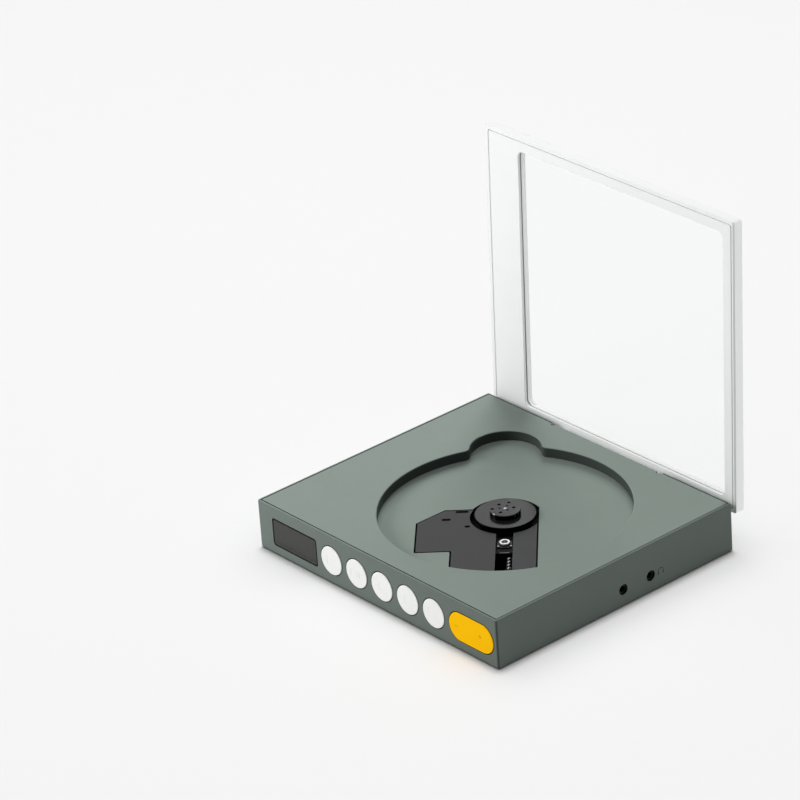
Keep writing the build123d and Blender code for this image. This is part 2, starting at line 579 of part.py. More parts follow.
shell = box(-RIGHT, RIGHT, FRONT, BACK, INNER, OUTER)
shell = fillet(shell.edges().filter_by(Axis.Z), CORNER_R)
shell = fillet(shell.faces().sort_by(Axis.Z)[-1].edges(), 0.7)
room = box(-RIGHT + LID_RIM, RIGHT - LID_RIM, FRONT + LID_RIM, BACK - LID_RIM, INNER - 1, OUTER - SHEET_T)
shell -= fillet(room.edges().filter_by(Axis.Z), 1.6)
shell -= window_cut(0, INNER, OUTER + 1)
shell -= box(-HINGE_HALF - 0.3, HINGE_HALF + 0.3, BACK - LID_RIM - 0.2, BACK + 1, INNER - 1, INNER + 2.6)
write("lid_shell", opened(shell))

gap = LID_RIM + 0.35
liner = box(-RIGHT + gap, RIGHT - gap, FRONT + gap, BACK - gap, INNER + 0.05, OUTER - SHEET_T - 0.05)
liner = fillet(liner.edges().filter_by(Axis.Z), 1.4)
liner -= window_cut(0, INNER - 1, OUTER)
liner -= window_cut(2.4, INNER + PANE_RECESS, OUTER)
arm_y = BACK - 0.05
liner += box(-HINGE_HALF, HINGE_HALF, HINGE_Y + 0.55, arm_y, HINGE_Z, INNER + 2.4)
liner += box(-HINGE_HALF, HINGE_HALF, BACK - gap - 1.0, arm_y, INNER + 0.05, INNER + 2.4)
liner += rod_x(-HINGE_HALF, HINGE_HALF, HINGE_Y, HINGE_Z, HINGE_R)
liner -= rod_x(-HINGE_HALF - 1, -HINGE_HALF + 9, HINGE_Y, HINGE_Z, PIN_R + 0.05)
liner -= rod_x(HINGE_HALF - 9, HINGE_HALF + 1, HINGE_Y, HINGE_Z, PIN_R + 0.05)
for x, y in magnet_xy:
    liner -= rod(x, y, INNER + 0.8, OUTER, 4.05)
write("lid_frame", opened(liner))
pane = window_cut(2.2, INNER + PANE_RECESS + 0.05, INNER + PANE_RECESS + 0.05 + PANE_T)
write("lid_pane", opened(pane))
lid_magnets = [opened(rod(x, y, INNER + 0.9, INNER + 2.9, 4.0)) for x, y in magnet_xy]
write("lid_magnets", group(lid_magnets))
pin = rod_x(31.0, 46.9, HINGE_Y, HINGE_Z, PIN_R)
write("hinge_pins", group([pin, mirror(pin, Plane.YZ)]))
catches = [rod(x, y, TOP - DECK_T - 2.1, TOP - DECK_T - 0.1, 4.0) for x, y in magnet_xy]
write("latch_magnets", group(catches))
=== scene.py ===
import json
import math

import bmesh
import bpy
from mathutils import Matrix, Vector


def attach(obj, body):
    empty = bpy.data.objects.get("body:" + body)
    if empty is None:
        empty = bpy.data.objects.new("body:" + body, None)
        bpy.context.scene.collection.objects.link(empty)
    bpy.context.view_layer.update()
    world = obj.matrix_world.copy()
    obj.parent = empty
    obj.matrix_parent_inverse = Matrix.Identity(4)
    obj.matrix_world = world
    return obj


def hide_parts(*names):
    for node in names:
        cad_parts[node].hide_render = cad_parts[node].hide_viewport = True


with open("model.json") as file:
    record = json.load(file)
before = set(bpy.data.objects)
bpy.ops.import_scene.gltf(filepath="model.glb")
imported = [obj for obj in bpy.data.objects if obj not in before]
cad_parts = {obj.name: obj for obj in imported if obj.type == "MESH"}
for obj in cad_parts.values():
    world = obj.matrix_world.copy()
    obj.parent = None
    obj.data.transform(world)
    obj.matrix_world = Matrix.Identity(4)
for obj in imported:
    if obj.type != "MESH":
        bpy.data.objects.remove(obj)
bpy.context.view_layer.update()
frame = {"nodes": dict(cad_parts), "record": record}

MM = 0.001
nodes = frame["nodes"]

# Places on the player, in millimetres, as in the CAD source.
FRONT, BACK, RIGHT, TOP, FLOOR = -75.5, 75.5, 85.75, 25.8, 20.6
RIM, SEAM, DECK_BEVEL = 1.1, 0.4, 0.25
KEY_Z, KEY_FACE = 12.7, -75.8
BUTTON_X = (-31.4, -13.1, 5.2, 23.5, 41.8)
ROCKER_X = 67.9
SIGN_Y, SIGN_Z = 27.7, 9.0
DISPLAY_X, DISPLAY_Z, DISPLAY_FACE = -58.7, 12.4, FRONT + 0.1
SPINDLE_X, SPINDLE_Y, MECH_TURN = 8.4, 0.4, math.radians(-43.5)
SCREW_V, SCREW_Z, SCREW_LEAD = 2.2, 14.8, 3.0
PLATTER_R, BOSS_R, BOSS_TOP = 15.0, 7.45, 24.8
LENS_U, SLED_OUT, SLED_TOP = 23.2, 31.4, 18.1
COVER_SLOTS = ((-5.8, -20.9, 5.4), (1.5, -28.3, 3.5), (8.8, -18.0, 1.8))
HINGE_Y, HINGE_Z, OPEN_TURN = 73.3, 21.1, math.radians(91.85)
LID_INNER = 4.9
WINDOW_X, WINDOW_Y, WINDOW_W, WINDOW_H, WINDOW_R = 7.7, 0.4, 140.6, 137.2, 3.4


# ---------------------------------------------------------------- node helpers

def tree(name):
    """A new material, its node tree and its Principled shader."""
    mat = bpy.data.materials.new(name)
    mat.use_nodes = True
    shader = mat.node_tree.nodes["Principled BSDF"]
    return mat, mat.node_tree, shader


def maths(nt, operation, *values):
    """One step of arithmetic on sockets and plain numbers."""
    node = nt.nodes.new("ShaderNodeMath")
    node.operation = operation
    for socket, value in zip(node.inputs, values):
        if isinstance(value, (int, float)):
            socket.default_value = value
        else:
            nt.links.new(value, socket)
    return node.outputs["Value"]


def mix(nt, factor, a, b):
    """A blend of two colours, each a tuple or a socket."""
    node = nt.nodes.new("ShaderNodeMix")
    node.data_type = "RGBA"
    nt.links.new(factor, node.inputs["Factor"])
    for socket, value in ((node.inputs["A"], a), (node.inputs["B"], b)):
        if isinstance(value, tuple):
            socket.default_value = (*value, 1.0)
        else:
            nt.links.new(value, socket)
    return node.outputs["Result"]


def noise(nt, scale, detail=2.0, stretch=None):
    """Noise in the piece's own metres; stretch squeezes it along an axis."""
    where = nt.nodes.new("ShaderNodeTexCoord").outputs["Object"]
    if stretch:
        mapping = nt.nodes.new("ShaderNodeMapping")
        mapping.inputs["Scale"].default_value = stretch
        nt.links.new(where, mapping.inputs["Vector"])
        where = mapping.outputs["Vector"]
    tex = nt.nodes.new("ShaderNodeTexNoise")
    tex.inputs["Scale"].default_value = scale
    tex.inputs["Detail"].default_value = detail
    nt.links.new(where, tex.inputs["Vector"])
    return tex.outputs["Fac"]


def spread(nt, factor, low, high):
    """Stretches a noise factor's middle part over low to high."""
    ramp = nt.nodes.new("ShaderNodeMapRange")
    ramp.inputs["From Min"].default_value = 0.3
    ramp.inputs["From Max"].default_value = 0.7
    ramp.inputs["To Min"].default_value = low
    ramp.inputs["To Max"].default_value = high
    nt.links.new(factor, ramp.inputs["Value"])
    return ramp.outputs["Result"]


def spot(nt):
    """The three parts of a point's own place on the piece, in millimetres."""
    scaled = nt.nodes.new("ShaderNodeVectorMath")
    scaled.operation = "SCALE"
    scaled.inputs["Scale"].default_value = 1 / MM
    where = nt.nodes.new("ShaderNodeTexCoord").outputs["Object"]
    nt.links.new(where, scaled.inputs["Vector"])
    split = nt.nodes.new("ShaderNodeSeparateXYZ")
    nt.links.new(scaled.outputs["Vector"], split.inputs["Vector"])
    return split.outputs


def facing(nt):
    """The three parts of the direction a face looks in."""
    normal = nt.nodes.new("ShaderNodeNewGeometry").outputs["True Normal"]
    split = nt.nodes.new("ShaderNodeSeparateXYZ")
    nt.links.new(normal, split.inputs["Vector"])
    return split.outputs


def above(nt, value, edge, width=0.1):
    """Rises from 0 to 1 as the value passes the edge."""
    ramp = nt.nodes.new("ShaderNodeMapRange")
    ramp.inputs["From Min"].default_value = edge - width / 2
    ramp.inputs["From Max"].default_value = edge + width / 2
    nt.links.new(value, ramp.inputs["Value"])
    return ramp.outputs["Result"]


def below(nt, value, edge, width=0.1):
    return maths(nt, "SUBTRACT", 1.0, above(nt, value, edge, width))


def both(nt, a, b):
    """1 where both masks are 1."""
    return maths(nt, "MULTIPLY", a, b)


def between(nt, value, low, high):
    return both(nt, above(nt, value, low), below(nt, value, high))


def off(nt, value, place):
    """How far a value is from a place, on either side."""
    return maths(nt, "ABSOLUTE", maths(nt, "SUBTRACT", value, place))


def inward(nt, depth):
    """How far a point lies inside the base's outline drawn in by depth."""
    x, y, _ = spot(nt)
    from_side = maths(nt, "SUBTRACT", RIGHT - depth, maths(nt, "ABSOLUTE", x))
    from_end = maths(nt, "SUBTRACT", BACK - depth, maths(nt, "ABSOLUTE", y))
    return maths(nt, "MINIMUM", from_side, from_end)


def along_mech(nt):
    """How far a point lies along the mechanism's own axis, and how far across it."""
    x, y, _ = spot(nt)
    x = maths(nt, "SUBTRACT", x, SPINDLE_X)
    y = maths(nt, "SUBTRACT", y, SPINDLE_Y)
    c, s = math.cos(MECH_TURN), math.sin(MECH_TURN)
    along = maths(nt, "ADD", maths(nt, "MULTIPLY", x, c), maths(nt, "MULTIPLY", y, s))
    across = maths(nt, "ADD", maths(nt, "MULTIPLY", x, -s), maths(nt, "MULTIPLY", y, c))
    return along, across


def from_spindle(nt):
    """Distance from the spindle's axis."""
    squares = [maths(nt, "POWER", part, 2.0) for part in along_mech(nt)]
    return maths(nt, "SQRT", maths(nt, "ADD", *squares))


def up_from_hinge(nt):
    """How far a point of the open lid lies towards its outer side, from the hinge's axis."""
    _, y, z = spot(nt)
    y = maths(nt, "SUBTRACT", y, HINGE_Y)
    z = maths(nt, "SUBTRACT", z, HINGE_Z)
    c, s = math.cos(OPEN_TURN), math.sin(OPEN_TURN)
    return maths(nt, "ADD", maths(nt, "MULTIPLY", y, s), maths(nt, "MULTIPLY", z, c))


# ---------------------------------------------------------------- materials

BLACK = (0.003, 0.003, 0.003)
DEEP_BLACK = (0.001, 0.001, 0.001)
GRAIN_DEPTH = 0.00002
CLOUDS_PER_PATCH = 5.3


def linear(r, g, b):
    """An sRGB colour of 0 to 255 as the shader's linear values."""
    out = []
    for v in (r, g, b):
        v /= 255.0
        out.append(v / 12.92 if v <= 0.04045 else ((v + 0.055) / 1.055) ** 2.4)
    return tuple(out)


def finish(name, colour, rough, vary=0.03, patch=40.0, grain=0.0, grain_scale=2500.0,
           rough_vary=0.03, stretch=None, **sockets):
    """A solid material with slow colour drift, uneven gloss and a fine surface grain."""
    mat, nt, shader = tree(name)
    base = linear(*colour)
    low = tuple(max(0.0, c * (1 - vary)) for c in base)
    high = tuple(min(1.0, c * (1 + vary)) for c in base)
    drift = noise(nt, patch, 3.0, stretch)
    nt.links.new(mix(nt, spread(nt, drift, 0, 1), low, high), shader.inputs["Base Color"])
    cloud = noise(nt, patch * CLOUDS_PER_PATCH, 4.0, stretch)
    gloss = spread(nt, cloud, rough - rough_vary, rough + rough_vary)
    nt.links.new(gloss, shader.inputs["Roughness"])
    if grain:
        bump = nt.nodes.new("ShaderNodeBump")
        bump.inputs["Strength"].default_value = grain
        bump.inputs["Distance"].default_value = GRAIN_DEPTH
        nt.links.new(noise(nt, grain_scale, 2.0, stretch), bump.inputs["Height"])
        nt.links.new(bump.outputs["Normal"], shader.inputs["Normal"])
    for key, value in sockets.items():
        shader.inputs[key.replace("_", " ")].default_value = value
    return mat


def metal(name, colour, rough, patch=400.0, **more):
    return finish(name, colour, rough, patch=patch, Metallic=1.0, **more)


def tint(mat, mask, colour=BLACK, keep=0.0):
    """Turns the paint towards another colour where the mask is 1, but keeps a share of it."""
    nt = mat.node_tree
    socket = nt.nodes["Principled BSDF"].inputs["Base Color"]
    old = socket.links[0].from_socket
    if keep:
        mask = maths(nt, "MULTIPLY", mask, 1.0 - keep)
    nt.links.new(mix(nt, mask, old, colour), socket)


def dull(mat, mask, level, left):
    """Sets the specular level, and lowers it to what is left where the mask is 1."""
    nt = mat.node_tree
    socket = nt.nodes["Principled BSDF"].inputs["Specular IOR Level"]
    socket.default_value = level
    fall = maths(nt, "MULTIPLY", mask, level - left)
    nt.links.new(maths(nt, "SUBTRACT", level, fall), socket)


def clear(name, colour, ior, passed):
    """Clear plastic; light passes it unbent, while the eye sees its gloss and depth."""
    mat, nt, shader = tree(name)
    shader.inputs["Base Color"].default_value = (*colour, 1.0)
    shader.inputs["Transmission Weight"].default_value = 1.0
    shader.inputs["IOR"].default_value = ior
    nt.links.new(spread(nt, noise(nt, 60.0), 0.0, 0.01), shader.inputs["Roughness"])
    through = nt.nodes.new("ShaderNodeBsdfTransparent")
    through.inputs["Color"].default_value = (passed, passed, passed, 1.0)
    path = nt.nodes.new("ShaderNodeLightPath").outputs
    unseen = maths(nt, "MAXIMUM", path["Is Shadow Ray"], path["Is Diffuse Ray"])
    either = nt.nodes.new("ShaderNodeMixShader")
    nt.links.new(unseen, either.inputs["Fac"])
    nt.links.new(shader.outputs["BSDF"], either.inputs[1])
    nt.links.new(through.outputs["BSDF"], either.inputs[2])
    nt.links.new(either.outputs["Shader"], nt.nodes["Material Output"].inputs["Surface"])
    return mat


# Deck: painted shade, dark on the well's wall, black under its floor round the mechanism and in
# the seam along the front.
BODY_GREEN = (110, 120, 114)
BODY_GRAIN = dict(vary=0.015, grain=0.3, grain_scale=2200.0, Specular_IOR_Level=0.12)
deck_paint = finish("deck_paint", BODY_GREEN, 0.5, **BODY_GRAIN)
nt = deck_paint.node_tree
x, y, z = spot(nt)
up = facing(nt)[2]
tint(deck_paint, below(nt, up, 0.3), keep=0.3)
tint(deck_paint, below(nt, z, FLOOR - 0.1))
front_seam_shade = below(nt, y, FRONT + RIM + SEAM + DECK_BEVEL + 0.05)
tint(deck_paint, both(nt, below(nt, up, 0.9), front_seam_shade))

# Side frame: painted shade, black on its inner faces, in the seam and inside its openings, with a
# dark line of painted shade down the front right corner. The camera sees the walls behind the left
# and back seams, so they keep the body's colour.
FRAME_SKIN, INNER_TOP = 0.3, TOP - 1.5
paint = finish("body_paint", BODY_GREEN, 0.5, **BODY_GRAIN)
nt = paint.node_tree
x, y, z = spot(nt)
out_of_sight = both(nt, above(nt, x, RIM - RIGHT + 0.1), below(nt, y, BACK - RIM - 0.1))
tint(paint, both(nt, above(nt, inward(nt, RIM - 0.05), 0.03, 0.04), out_of_sight))
tint(paint, both(nt, above(nt, inward(nt, FRAME_SKIN), 0.05), below(nt, z, INNER_TOP)))
towards = facing(nt)
tint(paint, above(nt, maths(nt, "SUBTRACT", towards[0], towards[1]), 1.3, 0.2), keep=0.5)

# Keys and rocker: black behind the front face, painted shade in the gap round each cap.
button_white = finish("button_white", (240, 241, 239), 0.4, vary=0.01, grain=0.15,
                      Specular_IOR_Level=0.25)
rocker_yellow = finish("rocker_yellow", (255, 193, 0), 0.45, vary=0.015, grain=0.15,
                       Specular_IOR_Level=0.02)
for cap in (button_white, rocker_yellow):
    nt = cap.node_tree
    tint(cap, above(nt, spot(nt)[1], FRONT + 0.1))

# Mechanism's covers: painted shade, black and dull below their top and for a little way around
# their slots.
SLOT_HALF_W, SLOT_END = 1.0, 0.35
mech_black = finish("mech_black", (24, 24, 26), 0.3, vary=0.05, patch=90.0, grain=0.2,
                    grain_scale=3200.0, rough_vary=0.02)
nt = mech_black.node_tree
along, across = along_mech(nt)
dark = below(nt, spot(nt)[2], FLOOR - 0.15)
for u, v, length in COVER_SLOTS:
    beside = below(nt, off(nt, along, u), SLOT_HALF_W, 0.3)
    before = below(nt, off(nt, across, v), length / 2 + SLOT_END, 0.3)
    dark = maths(nt, "MAXIMUM", dark, both(nt, beside, before))
tint(mech_black, dark, DEEP_BLACK)
dull(mech_black, dark, 0.31, 0.01)

# Turntable: painted shade, black and dull on upright faces, in the boss's holes and along its
# outer edge.
HOLE_TOP, HOLE_BOTTOM = BOSS_TOP - 0.05, BOSS_TOP - 0.35
BOSS_EDGE, PLATTER_EDGE = 0.5, 0.4
platter_black = finish("platter_black", (20, 20, 21), 0.16, vary=0.06, rough_vary=0.02)
nt = platter_black.node_tree
z = spot(nt)[2]
radius = from_spindle(nt)
upright = below(nt, maths(nt, "ABSOLUTE", facing(nt)[2]), 0.4)
holes = both(nt, above(nt, z, HOLE_BOTTOM), below(nt, z, HOLE_TOP, 0.04))
holes = both(nt, holes, below(nt, radius, BOSS_R - BOSS_EDGE))
dark = maths(nt, "MAXIMUM", upright, holes)
dark = maths(nt, "MAXIMUM", dark, above(nt, radius, PLATTER_R - PLATTER_EDGE))
tint(platter_black, dark, DEEP_BLACK)
dull(platter_black, dark, 0.5, 0.02)

# Pickup: painted highlights, a bright ring on the lens carrier and a bright band on the magnets
# beside it.
RING_Z = SLED_TOP + 0.9
BAND_FROM, BAND_TO = LENS_U + 2.0, LENS_U + 3.2
lens_mount = finish("lens_mount", (20, 20, 21), 0.4, grain=0.3)
nt = lens_mount.node_tree
tint(lens_mount, above(nt, spot(nt)[2], RING_Z), linear(214, 215, 217))
pole_steel = metal("pole_steel", (64, 64, 66), 0.3, rough_vary=0.05)
nt = pole_steel.node_tree
band = between(nt, along_mech(nt)[0], BAND_FROM, BAND_TO)
tint(pole_steel, band, linear(205, 205, 207))

# Lid: painted shade standing in for a groove along both side edges of the inner frame, fainter on
# the left, and a line of painted shade on the shell's right edge where the frame's side meets it.
LID_COLOUR = (236, 238, 237)
GROOVE_SHADE_IN, GROOVE_SHADE_OUT, SHELL_SHADE_LINE = RIGHT - 2.75, RIGHT - 2.3, RIGHT - 1.25
lid_white = finish("lid_white", LID_COLOUR, 0.42, vary=0.008, grain=0.15, Specular_IOR_Level=0.3)
nt = lid_white.node_tree
x = spot(nt)[0]
for side, keep in ((x, 0.42), (maths(nt, "MULTIPLY", x, -1.0), 0.75)):
    tint(lid_white, between(nt, side, GROOVE_SHADE_IN, GROOVE_SHADE_OUT), keep=keep)
shell_white = finish("shell_white", LID_COLOUR, 0.42, vary=0.008, grain=0.15,
                     Specular_IOR_Level=0.15)
nt = shell_white.node_tree
line = both(nt, above(nt, spot(nt)[0], SHELL_SHADE_LINE),
            below(nt, up_from_hinge(nt), LID_INNER + 0.1))
tint(shell_white, line, keep=0.6)

MATERIAL_OF = {
    "body_paint": paint,
    "button_white": button_white,
    "rocker_yellow": rocker_yellow,
    "mech_black": mech_black,
    "platter_black": platter_black,
    "lid_white": lid_white,
    "cover_plastic": finish("cover_plastic", (92, 99, 94), 0.55, grain=0.6, grain_scale=1500.0),
    "foot_rubber": finish("foot_rubber", (38, 38, 38), 0.85, grain=0.8, grain_scale=1200.0,
                          rough_vary=0.06),
    "screw_steel": metal("screw_steel", (150, 150, 152), 0.34, patch=300.0, stretch=(1, 1, 6)),
    "display_glass": finish("display_glass", (8, 8, 8), 0.5, vary=0.05, rough_vary=0.02,
                            Specular_IOR_Level=0.05),
    "circuit_board": finish("circuit_board", (22, 66, 42), 0.42, vary=0.18, patch=260.0,
                            grain=0.5),
    "chip_black": finish("chip_black", (24, 24, 26), 0.6, grain=0.6),
    "carrier_plastic": finish("carrier_plastic", (60, 62, 64), 0.5, grain=0.5),
    "steel": metal("steel", (196, 197, 199), 0.2, rough_vary=0.06),
    "socket_black": finish("socket_black", (7, 7, 7), 0.45, Specular_IOR_Level=0.3),
    "cell_wrap": finish("cell_wrap", (58, 84, 140), 0.35, grain=0.4, grain_scale=700.0),
    "magnet": metal("magnet", (120, 120, 120), 0.3, rough_vary=0.08),
    "sled_plastic": finish("sled_plastic", (9, 9, 10), 0.5, grain=0.5, Specular_IOR_Level=0.1),
    "pane_clear": clear("pane_clear", (0.99, 0.995, 0.995), 1.12, 0.95),
    "lens_clear": clear("lens_clear", (0.3, 0.34, 0.4), 1.49, 0.6),
}
SPECIAL = {
    "deck": deck_paint,
    "lens_holder": lens_mount,
    "lid_shell": shell_white,
    "lens_magnets": pole_steel,
    "mech_chassis": finish("shade_black", (6, 6, 6), 0.6, vary=0.05, grain=0.2,
                           Specular_IOR_Level=0.1),
    "clamp_balls": metal("ball_steel", (36, 36, 38), 0.45, rough_vary=0.05),
}
for row in frame["record"]["subparts"]:
    obj = nodes[row["node"]]
    chosen = SPECIAL.get(row["node"], MATERIAL_OF[row["material_slot"]])
    for slot in obj.material_slots:
        slot.material = chosen
    if not obj.material_slots:
        obj.data.materials.append(chosen)

# Marks and trim.
mark_grey = finish("mark_grey", (222, 223, 221), 0.45, vary=0.02)
mark_yellow = finish("mark_yellow", (214, 150, 8), 0.45, vary=0.02, Specular_IOR_Level=0.05)
mark_dark = finish("mark_dark", (38, 42, 39), 0.5, vary=0.04)
panel_dark = finish("panel_dark", (46, 45, 43), 0.25, vary=0.04, rough_vary=0.02,
                    Specular_IOR_Level=0.3)
panel_line = finish("panel_line", (24, 25, 24), 0.25, vary=0.05, rough_vary=0.02,
                    Specular_IOR_Level=0.3)
# Grey for the sled's edge, a painted highlight.
edge_highlight_grey = finish("edge_highlight_grey", (112, 113, 113), 0.45, vary=0.04)
seal_grey = finish("seal_grey", (176, 179, 177), 0.5, vary=0.05)
# Near white, lighter than the lid's white, as painted light on the window's wall.
liner_lit_white = finish("liner_lit_white", (250, 251, 250), 0.5, vary=0.005, Specular_IOR_Level=0.2)
crest_steel = metal("crest_steel", (140, 140, 142), 0.42, rough_vary=0.06)
# Dark for the thread's roots, painted shade.
root_shade_dark = metal("root_shade_dark", (30, 30, 32), 0.4)


# ---------------------------------------------------------------- geometry helpers

def add_mesh(name, bm, material, body, smooth=False):
    """Turns a bmesh into a named piece that rides on a body."""
    bmesh.ops.recalc_face_normals(bm, faces=bm.faces)
    mesh = bpy.data.meshes.new(name)
    bm.to_mesh(mesh)
    bm.free()
    obj = bpy.data.objects.new(name, mesh)
    bpy.context.scene.collection.objects.link(obj)
    mesh.materials.append(material)
    for face in mesh.polygons:
        face.use_smooth = smooth
    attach(obj, body)
    return obj


def join(bm, ring, after):
    """A belt of faces between two rings of as many corners."""
    count = len(ring)
    for i in range(count):
        j = (i + 1) % count
        bm.faces.new((ring[i], ring[j], after[j], after[i]))


def prism(bm, outline, place, low, high):
    """Raises a flat outline of (a, b) points between two depths; place turns them into a point."""
    rings = []
    for depth in (low, high):
        rings.append([bm.verts.new(place(a, b, depth)) for a, b in outline])
    bm.faces.new(rings[0][::-1])
    bm.faces.new(rings[1])
    join(bm, *rings)


def on_front(x, z, face):
    """Places a mark drawn in X and Z so that it stands proud of a face that looks to the front."""
    return lambda a, b, depth: Vector((x + a, face - depth, z + b)) * MM


def on_right(y, z):
    """Places a mark drawn in Y and Z on the right side of the base."""
    return lambda a, b, depth: Vector((RIGHT + depth, y + a, z + b)) * MM


def on_mech(u, v, z):
    """A point given along the mechanism's own axes."""
    c, s = math.cos(MECH_TURN), math.sin(MECH_TURN)
    return Vector((SPINDLE_X + u * c - v * s, SPINDLE_Y + u * s + v * c, z)) * MM


def on_lid(x, y, up):
    """A point given on the closed lid, up from its inner side, in the lid's open place."""
    dy, dz = y - HINGE_Y, LID_INNER + up
    c, s = math.cos(OPEN_TURN), math.sin(OPEN_TURN)
    return Vector((x, HINGE_Y + dy * c + dz * s, HINGE_Z - dy * s + dz * c)) * MM


def bar(x0, x1, z0, z1):
    return [(x0, z0), (x1, z0), (x1, z1), (x0, z1)]


def disc(x, z, r, count=20):
    steps = [2 * math.pi * i / count for i in range(count)]
    return [(x + r * math.cos(t), z + r * math.sin(t)) for t in steps]


def arc(x, z, r, start, end, count=16):
    steps = [math.radians(start + (end - start) * i / count) for i in range(count + 1)]
    return [(x + r * math.cos(t), z + r * math.sin(t)) for t in steps]


def rounded(w, h, r, count=6):
    """A rectangle about the origin with round corners."""
    points = []
    for cx, cz, start in ((1, 1, 0), (-1, 1, 90), (-1, -1, 180), (1, -1, 270)):
        points += arc(cx * (w / 2 - r), cz * (h / 2 - r), r, start, start + 90, count)
    return points


def stroke(points, width):
    """An open line of the given width as one outline."""
    left, right = [], []
    for i, (a, b) in enumerate(points):
        a0, b0 = points[max(i - 1, 0)]
        a1, b1 = points[min(i + 1, len(points) - 1)]
        along = Vector((a1 - a0, b1 - b0)).normalized()
        across = Vector((-along.y, along.x)) * width / 2
        left.append((a + across.x, b + across.y))
        right.append((a - across.x, b - across.y))
    return left + right[::-1]


# ---------------------------------------------------------------- marks on the keys and the side

# A mark reaches from SUNK below its face to PROUD above it, or to OVER where two bars cross.
SUNK, PROUD, OVER = -0.05, 0.02, 0.021

KEY_MARKS = (
    [bar(-3.2, -2.8, -2.1, 2.1)],
    [bar(-4.0, -3.6, -1.7, 1.7), bar(0.4, 0.8, -1.7, 1.7), bar(2.0, 2.4, -1.7, 1.7)],
    [stroke([(-0.9, 1.7), (-2.7, 0.0), (-0.9, -1.7)], 0.42)],
    [bar(-1.9, -1.5, -2.3, 2.3)],
    [disc(-3.2, 2.0, 0.3), disc(-3.2, 0.0, 0.3), disc(-3.2, -2.0, 0.3)],
)
for i, (x, marks) in enumerate(zip(BUTTON_X, KEY_MARKS)):
    bm = bmesh.new()
    for outline in marks:
        prism(bm, outline, on_front(x, KEY_Z, KEY_FACE), SUNK, PROUD)
    add_mesh(f"button_{i + 1}_mark", bm, mark_grey, f"key_{i + 1}")

# Minus at the rocker's left end, plus at its right end.
ARM, HALF_LINE = 1.2, 0.2
bm = bmesh.new()
minus = on_front(ROCKER_X - 10.0, KEY_Z, KEY_FACE)
plus = on_front(ROCKER_X + 6.3, KEY_Z + 0.5, KEY_FACE)
prism(bm, bar(-ARM, ARM, -HALF_LINE, HALF_LINE), minus, SUNK, PROUD)
prism(bm, bar(-ARM, ARM, -HALF_LINE, HALF_LINE), plus, SUNK, PROUD)
prism(bm, bar(-HALF_LINE, HALF_LINE, -ARM, ARM), plus, SUNK, OVER)
add_mesh("volume_mark", bm, mark_yellow, "rocker")

# Headphone sign beside its socket: a band and two ear pads.
bm = bmesh.new()
sign = on_right(SIGN_Y, SIGN_Z)
prism(bm, stroke(arc(0.0, 0.1, 1.6, 0, 180) + [(-1.6, -0.9)], 0.45), sign, SUNK, PROUD)
prism(bm, bar(-1.95, -1.2, -1.5, -0.3), sign, SUNK, OVER)
prism(bm, bar(1.2, 1.95, -1.5, -0.3), sign, SUNK, OVER)
prism(bm, bar(1.38, 1.83, -0.9, 0.1), sign, SUNK, PROUD)
add_mesh("headphone_sign", bm, mark_dark, "base")


# ---------------------------------------------------------------- display

PANEL_W, PANEL_H, PANEL_R = 31.3, 13.3, 1.0
PANEL_SUNK, PANEL_PROUD, LINE_PROUD = -0.3, 0.012, 0.018
LINE_LEFT, LINE_RIGHT = -14.6, 14.9
display = on_front(DISPLAY_X, DISPLAY_Z, DISPLAY_FACE)
bm = bmesh.new()
prism(bm, rounded(PANEL_W, PANEL_H, PANEL_R), display, PANEL_SUNK, PANEL_PROUD)
add_mesh("display_panel", bm, panel_dark, "base")
bm = bmesh.new()
for z, h in ((-4.5, 0.3), (-5.3, 0.45)):
    thin = bar(LINE_LEFT, LINE_RIGHT, z - h / 2, z + h / 2)
    prism(bm, thin, display, PANEL_SUNK, LINE_PROUD)
add_mesh("display_lines", bm, panel_line, "base")


# ---------------------------------------------------------------- edges of the sled, a painted highlight, and of the window

# A light grey strip along the sled's outer edge, painted as the edge's highlight.
EDGE_IN, EDGE_OUT, EDGE_HALF = SLED_OUT - 0.55, SLED_OUT - 0.15, 2.2
bm = bmesh.new()
edge = bar(EDGE_IN, EDGE_OUT, -EDGE_HALF, EDGE_HALF)
prism(bm, edge, lambda u, v, z: on_mech(u, v, SLED_TOP + z), SUNK, PROUD)
add_mesh("sled_edge_highlight", bm, edge_highlight_grey, "sled")


def window_ring(name, section, material):
    """A closed ring round the window; section says how far in and how far up its edges lie."""
    bm = bmesh.new()
    rings = []
    for inset, up in section:
        outline = rounded(WINDOW_W - 2 * inset, WINDOW_H - 2 * inset, WINDOW_R - inset)
        rings.append([bm.verts.new(on_lid(WINDOW_X + a, WINDOW_Y + b, up)) for a, b in outline])
    for ring, after in zip(rings, rings[1:] + rings[:1]):
        join(bm, ring, after)
    return add_mesh(name, bm, material, "lid")


seal = window_ring("window_seal", ((0.0, 1.4), (0.25, 1.55), (0.0, 1.6)), seal_grey)
# The liner stands as the window's wall behind the pane; its near white, lighter than the lid, is
# painted light.
liner = window_ring("window_liner", ((0.02, 2.2), (0.2, 2.2), (0.2, 5.3), (0.02, 5.3)),
                    liner_lit_white)


# ---------------------------------------------------------------- feed screw with its thread

